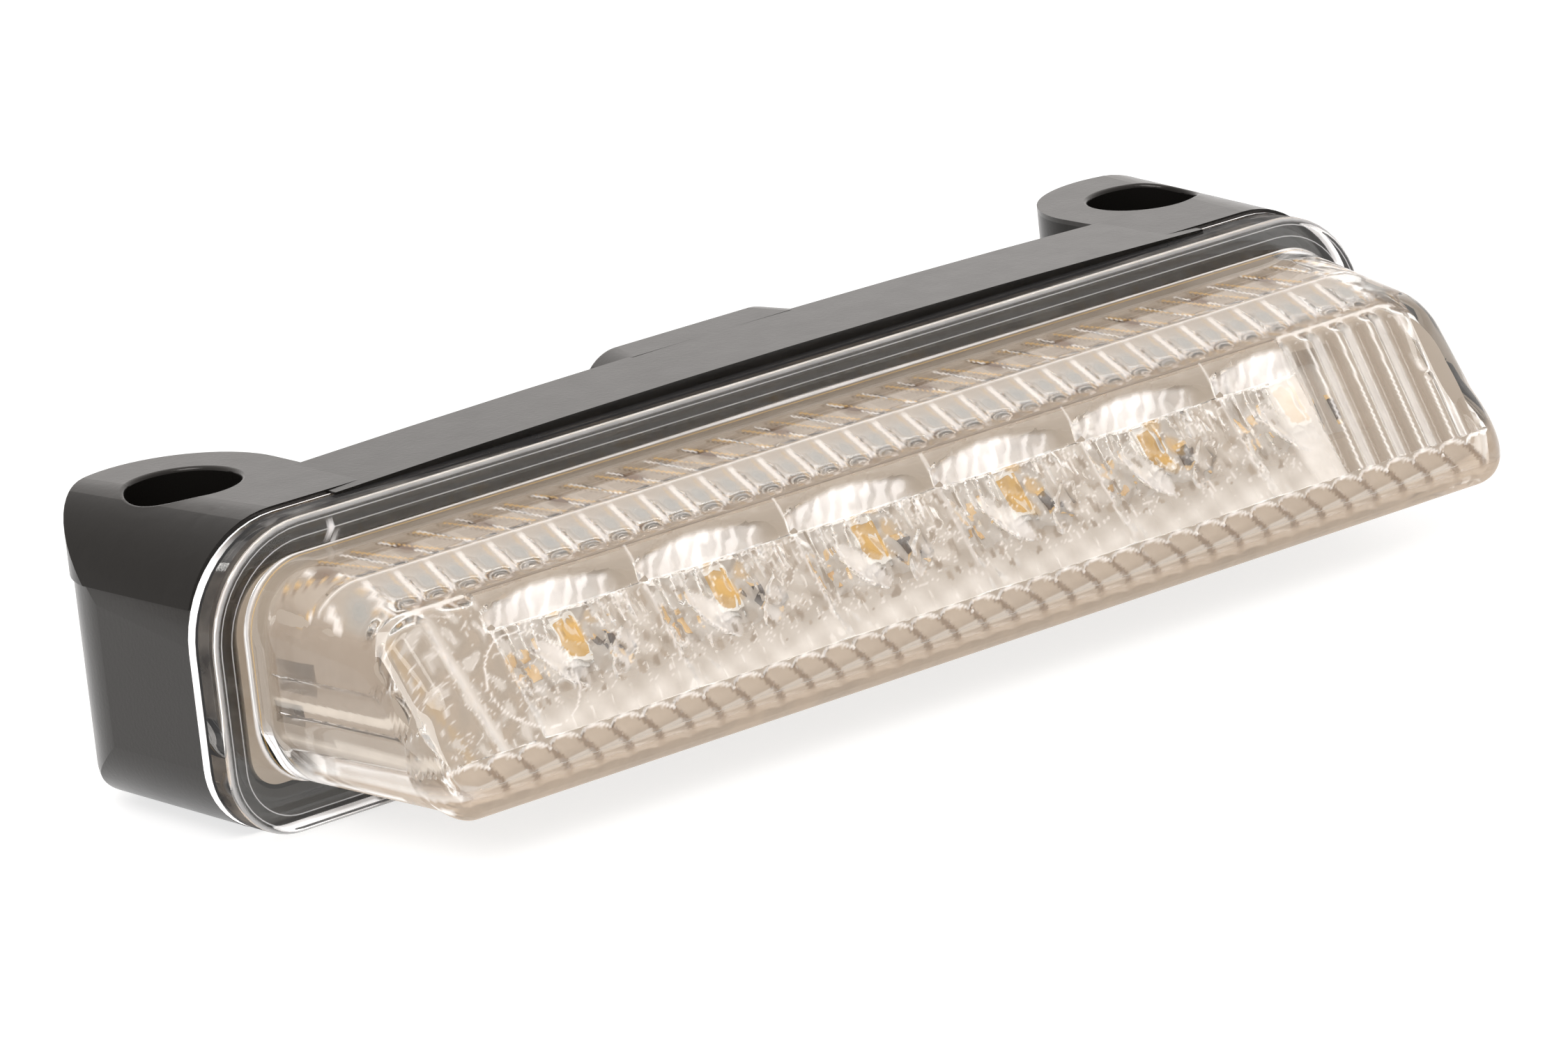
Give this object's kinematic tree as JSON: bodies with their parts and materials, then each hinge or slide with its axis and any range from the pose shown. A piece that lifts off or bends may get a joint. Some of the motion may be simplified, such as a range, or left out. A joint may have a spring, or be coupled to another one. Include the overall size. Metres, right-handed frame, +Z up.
{
  "type": "third brake light",
  "caption": "Slim high-mounted brake light: black housing with two screw ears, clear welded lens with a sloping face, lit board and tray inside.",
  "frame": {"origin": "midway between the two mounting holes, on the mounting plane under the ears", "axes": "+X along the lamp, +Y from the lens to the back, +Z up, along the mounting screws"},
  "size_m": [0.136, 0.0925, 0.029],
  "materials": {
    "black_plastic": "satin moulded",
    "clear_plastic": "clear, polished",
    "weld_bead": "satin",
    "cream_plastic": "satin moulded",
    "board_white": "satin solder mask",
    "led_white": "satin",
    "amber_fill": "gloss silicone",
    "tinned_metal": "tinned",
    "resistor_black": "satin",
    "gold_plate": "plated",
    "chip_black": "moulded epoxy",
    "capacitor_tan": "ceramic",
    "wire_red": "PVC",
    "wire_black": "PVC",
    "copper": "bare copper strands",
    "cable_black": "PVC sheath",
    "rubber_black": "satin rubber",
    "potting_resin": "cast resin",
    "nylon_black": "nylon"
  },
  "bodies": {
    "root": {"housing": "black_plastic", "lens": "clear_plastic", "lens_weld_bead": "weld_bead", "reflector_tray": "cream_plastic", "led_board": "board_white", "led_bodies": "led_white", "led_phosphor_fills": "amber_fill", "led_terminals": "tinned_metal", "chip_resistors": "resistor_black", "board_pads": "gold_plate", "current_regulators": "chip_black", "polarity_diode": "chip_black", "surge_suppressor": "chip_black", "filter_capacitors": "capacitor_tan", "solder_joints": "tinned_metal", "positive_wire": "wire_red", "negative_wire": "wire_black", "stripped_wire_ends": "copper", "cable_sheath": "cable_black", "cable_grommet": "rubber_black", "cable_potting": "potting_resin", "cable_tie": "nylon_black"}
  },
  "joints": []
}
